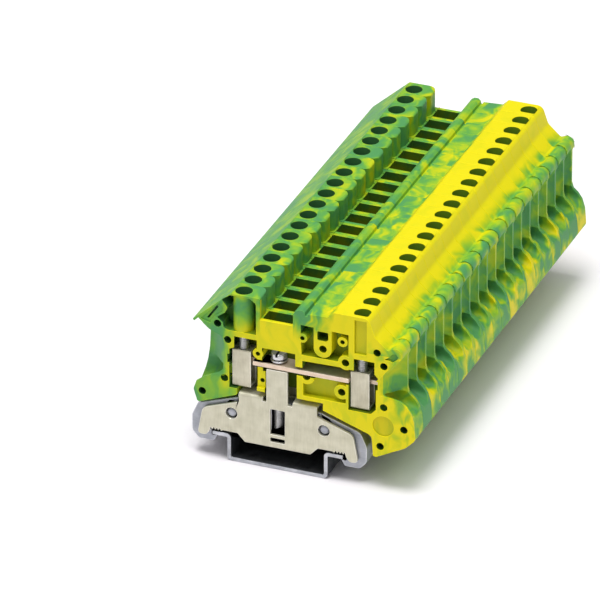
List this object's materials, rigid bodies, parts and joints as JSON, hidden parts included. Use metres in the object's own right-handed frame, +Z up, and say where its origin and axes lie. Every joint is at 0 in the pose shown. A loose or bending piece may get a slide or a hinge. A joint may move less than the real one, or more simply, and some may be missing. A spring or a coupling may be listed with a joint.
{
  "type": "din rail terminal block row",
  "caption": "Row of thin green and yellow screw terminal blocks clamped side by side on a top-hat rail, for joining protective earth conductors.",
  "frame": {"origin": "middle of the row's footprint on the plane of the rail's underside", "axes": "+X across the rail towards the long right-hand side of the blocks, +Y along the rail from the open front block to the closed back, +Z up from the rail"},
  "size_m": [0.0603, 0.124, 0.0476],
  "materials": {
    "polyamide": "satin green and yellow moulded polyamide with flow streaks",
    "tinned_plate": "warm matt tin plating on stamped sheet",
    "zinc_clamp": "cool grey zinc plating, slightly worn",
    "current_bar": "tin-plated copper with a pink cast",
    "cage_plating": "warm nickel plating, brushed",
    "screw_steel": "bright zinc-plated steel",
    "rail_steel": "galvanised strip steel"
  },
  "bodies": {
    "rail_and_blocks": {"clamp_foot_02": "zinc_clamp", "clamp_foot_03": "zinc_clamp", "clamp_foot_04": "zinc_clamp", "clamp_foot_05": "zinc_clamp", "clamp_foot_06": "zinc_clamp", "clamp_foot_07": "zinc_clamp", "clamp_foot_08": "zinc_clamp", "clamp_foot_09": "zinc_clamp", "clamp_foot_10": "zinc_clamp", "clamp_foot_11": "zinc_clamp", "clamp_foot_12": "zinc_clamp", "clamp_foot_13": "zinc_clamp", "clamp_foot_14": "zinc_clamp", "clamp_foot_15": "zinc_clamp", "clamp_foot_16": "zinc_clamp", "clamp_foot_17": "zinc_clamp", "clamp_foot_18": "zinc_clamp", "clamp_foot_19": "zinc_clamp", "clamp_foot_20": "zinc_clamp", "contact_foot": "tinned_plate", "current_bar": "current_bar", "din_rail": "rail_steel", "earth_washer": "screw_steel", "front_housing": "polyamide", "housing_02": "polyamide", "housing_03": "polyamide", "housing_04": "polyamide", "housing_05": "polyamide", "housing_06": "polyamide", "housing_07": "polyamide", "housing_08": "polyamide", "housing_09": "polyamide", "housing_10": "polyamide", "housing_11": "polyamide", "housing_12": "polyamide", "housing_13": "polyamide", "housing_14": "polyamide", "housing_15": "polyamide", "housing_16": "polyamide", "housing_17": "polyamide", "housing_18": "polyamide", "housing_19": "polyamide", "housing_20": "polyamide", "left_rivet": "zinc_clamp", "right_rivet": "zinc_clamp"},
    "left_clamp_screw": {"left_clamp_screw": "screw_steel"},
    "right_clamp_screw": {"right_clamp_screw": "screw_steel"},
    "left_cage": {"left_cage": "cage_plating"},
    "right_cage": {"right_cage": "cage_plating"},
    "earth_screw": {"earth_screw": "screw_steel"},
    "clamp_foot": {"clamp_foot": "zinc_clamp"}
  },
  "joints": [
    {"name": "left_screw_turn", "type": "hinge", "parent": "rail_and_blocks", "child": "left_clamp_screw", "pos_m": [-0.01655, -0.0593, 0.038], "axis": [0, 0, -1], "range_deg": [0, 2520]},
    {"name": "left_cage_lift", "type": "slide", "parent": "rail_and_blocks", "child": "left_cage", "axis": [0, 0, 1], "range_m": [0, 0.0035]},
    {"name": "right_screw_turn", "type": "hinge", "parent": "rail_and_blocks", "child": "right_clamp_screw", "pos_m": [0.01515, -0.0593, 0.038], "axis": [0, 0, -1], "range_deg": [0, 2520]},
    {"name": "right_cage_lift", "type": "slide", "parent": "rail_and_blocks", "child": "right_cage", "axis": [0, 0, 1], "range_m": [0, 0.0035]},
    {"name": "earth_screw_turn", "type": "hinge", "parent": "rail_and_blocks", "child": "earth_screw", "pos_m": [-0.00715, -0.0593, 0.031], "axis": [0, 0, 1], "range_deg": [0, 864]},
    {"name": "clamp_foot_drop", "type": "slide", "parent": "rail_and_blocks", "child": "clamp_foot", "axis": [0, 0, -1], "range_m": [0, 0.0012]}
  ],
  "couplings": [
    {"joint": "left_screw_turn", "follows": "left_cage_lift", "rad_per_m": 12560},
    {"joint": "right_screw_turn", "follows": "right_cage_lift", "rad_per_m": 12560},
    {"joint": "earth_screw_turn", "follows": "clamp_foot_drop", "rad_per_m": 12560}
  ]
}
